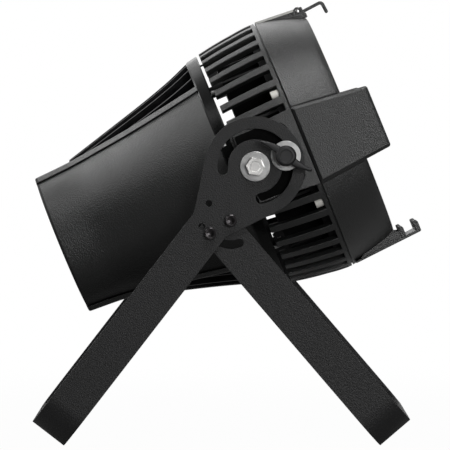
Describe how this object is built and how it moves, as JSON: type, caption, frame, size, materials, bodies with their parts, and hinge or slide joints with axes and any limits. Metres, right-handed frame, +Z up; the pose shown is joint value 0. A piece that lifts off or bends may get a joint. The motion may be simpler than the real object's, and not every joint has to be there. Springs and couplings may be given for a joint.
{
  "type": "par can light",
  "caption": "Stage par light with a flared, finned head, frame slots and a hook latch at the lens, tilting in a folding double yoke that opens into a floor stand.",
  "frame": {"origin": "centre of the footprint box, on the floor", "axes": "+Z up, +X the side that the beam leaves from, the yoke arms stand at -Y and +Y"},
  "size_m": [0.4042, 0.3446, 0.4578],
  "materials": {
    "yoke_paint": "matte black powder coat with a fine grain",
    "housing_paint": "satin black powder coat with a fine texture",
    "heat_sink_metal": "black anodised",
    "zinc_steel": "bright zinc plate",
    "dark_steel": "dark plated steel",
    "black_plastic": "fine moulded grain",
    "display_plastic": "glossy window",
    "front_glass": "clear",
    "optic_clear": "clear moulded lenses",
    "board_laminate": "circuit board laminate"
  },
  "bodies": {
    "yoke": {"fold_pin_near": "dark_steel", "fold_pin_far": "dark_steel", "fold_clamp_screw_near": "dark_steel", "fold_clamp_screw_far": "dark_steel", "fold_clamp_nut_near": "dark_steel", "fold_clamp_nut_far": "dark_steel", "main_yoke": "yoke_paint"},
    "stand": {"stand_yoke": "yoke_paint"},
    "knob_near": {"wing_knob_near": "black_plastic"},
    "knob_far": {"wing_knob_far": "black_plastic"},
    "latch": {"latch_hook": "housing_paint"},
    "fan": {"fan_rotor": "black_plastic"},
    "button_1": {"menu_button_1": "black_plastic"},
    "button_2": {"menu_button_2": "black_plastic"},
    "button_3": {"menu_button_3": "black_plastic"},
    "button_4": {"menu_button_4": "black_plastic"},
    "head": {"rear_housing": "housing_paint", "rib_cage": "housing_paint", "front_bezel": "housing_paint", "glass_retainer": "housing_paint", "frame_holder": "housing_paint", "latch_bracket": "housing_paint", "frame_guide_near": "housing_paint", "frame_guide_far": "housing_paint", "heat_fins_upper": "heat_sink_metal", "heat_fins_lower": "heat_sink_metal", "cooling_duct": "heat_sink_metal", "led_heat_sink": "heat_sink_metal", "pivot_washer_near": "zinc_steel", "pivot_washer_far": "zinc_steel", "lock_washer_near": "zinc_steel", "lock_washer_far": "zinc_steel", "pivot_bolt_near": "zinc_steel", "pivot_bolt_far": "zinc_steel", "lock_stud_near": "zinc_steel", "lock_stud_far": "zinc_steel", "cage_screw_1": "zinc_steel", "cage_screw_2": "zinc_steel", "cage_screw_3": "zinc_steel", "cage_screw_4": "zinc_steel", "cage_screw_5": "zinc_steel", "cage_screw_6": "zinc_steel", "latch_pin": "zinc_steel", "pivot_bush_near": "black_plastic", "pivot_bush_far": "black_plastic", "lock_bush_near": "black_plastic", "lock_bush_far": "black_plastic", "rear_panel": "black_plastic", "fan_frame": "black_plastic", "power_inlet": "black_plastic", "power_outlet": "black_plastic", "data_inlet": "black_plastic", "data_outlet": "black_plastic", "display_window": "display_plastic", "front_glass": "front_glass", "lens_array": "optic_clear", "led_board": "board_laminate", "control_board": "board_laminate", "driver_board": "board_laminate"}
  },
  "joints": [
    {"name": "stand_fold", "type": "hinge", "parent": "yoke", "child": "stand", "pos_m": [0.00302, 0, 0.23166], "axis": [0, 1, 0], "range_deg": [0, 78.2]},
    {"name": "head_tilt", "type": "hinge", "parent": "yoke", "child": "head", "pos_m": [0.02752, 0, 0.28641], "axis": [0, 1, 0], "range_deg": [-166, 99]},
    {"name": "knob_near_turn", "type": "hinge", "parent": "head", "child": "knob_near", "pos_m": [0.05867, -0.16, 0.29732], "axis": [0, 1, 0], "continuous": true},
    {"name": "knob_far_turn", "type": "hinge", "parent": "head", "child": "knob_far", "pos_m": [0.05867, 0.16, 0.29732], "axis": [0, 1, 0], "continuous": true},
    {"name": "latch_lift", "type": "hinge", "parent": "head", "child": "latch", "pos_m": [0.07273, 0, 0.44709], "axis": [0, 1, 0], "range_deg": [-95, 0], "stiffness_Nm_per_rad": 0.02, "springref_deg": 17.19},
    {"name": "fan_spin", "type": "hinge", "parent": "head", "child": "fan", "pos_m": [-0.00949, 0, 0.27124], "axis": [0.9252, 0, 0.3795], "continuous": true},
    {"name": "button_press_1", "type": "slide", "parent": "head", "child": "button_1", "axis": [0.9252, 0, 0.3795], "range_m": [0, 0.001], "stiffness_N_per_m": 400, "springref_m": -0.0005},
    {"name": "button_press_2", "type": "slide", "parent": "head", "child": "button_2", "axis": [0.9252, 0, 0.3795], "range_m": [0, 0.001], "stiffness_N_per_m": 400, "springref_m": -0.0005},
    {"name": "button_press_3", "type": "slide", "parent": "head", "child": "button_3", "axis": [0.9252, 0, 0.3795], "range_m": [0, 0.001], "stiffness_N_per_m": 400, "springref_m": -0.0005},
    {"name": "button_press_4", "type": "slide", "parent": "head", "child": "button_4", "axis": [0.9252, 0, 0.3795], "range_m": [0, 0.001], "stiffness_N_per_m": 400, "springref_m": -0.0005}
  ]
}
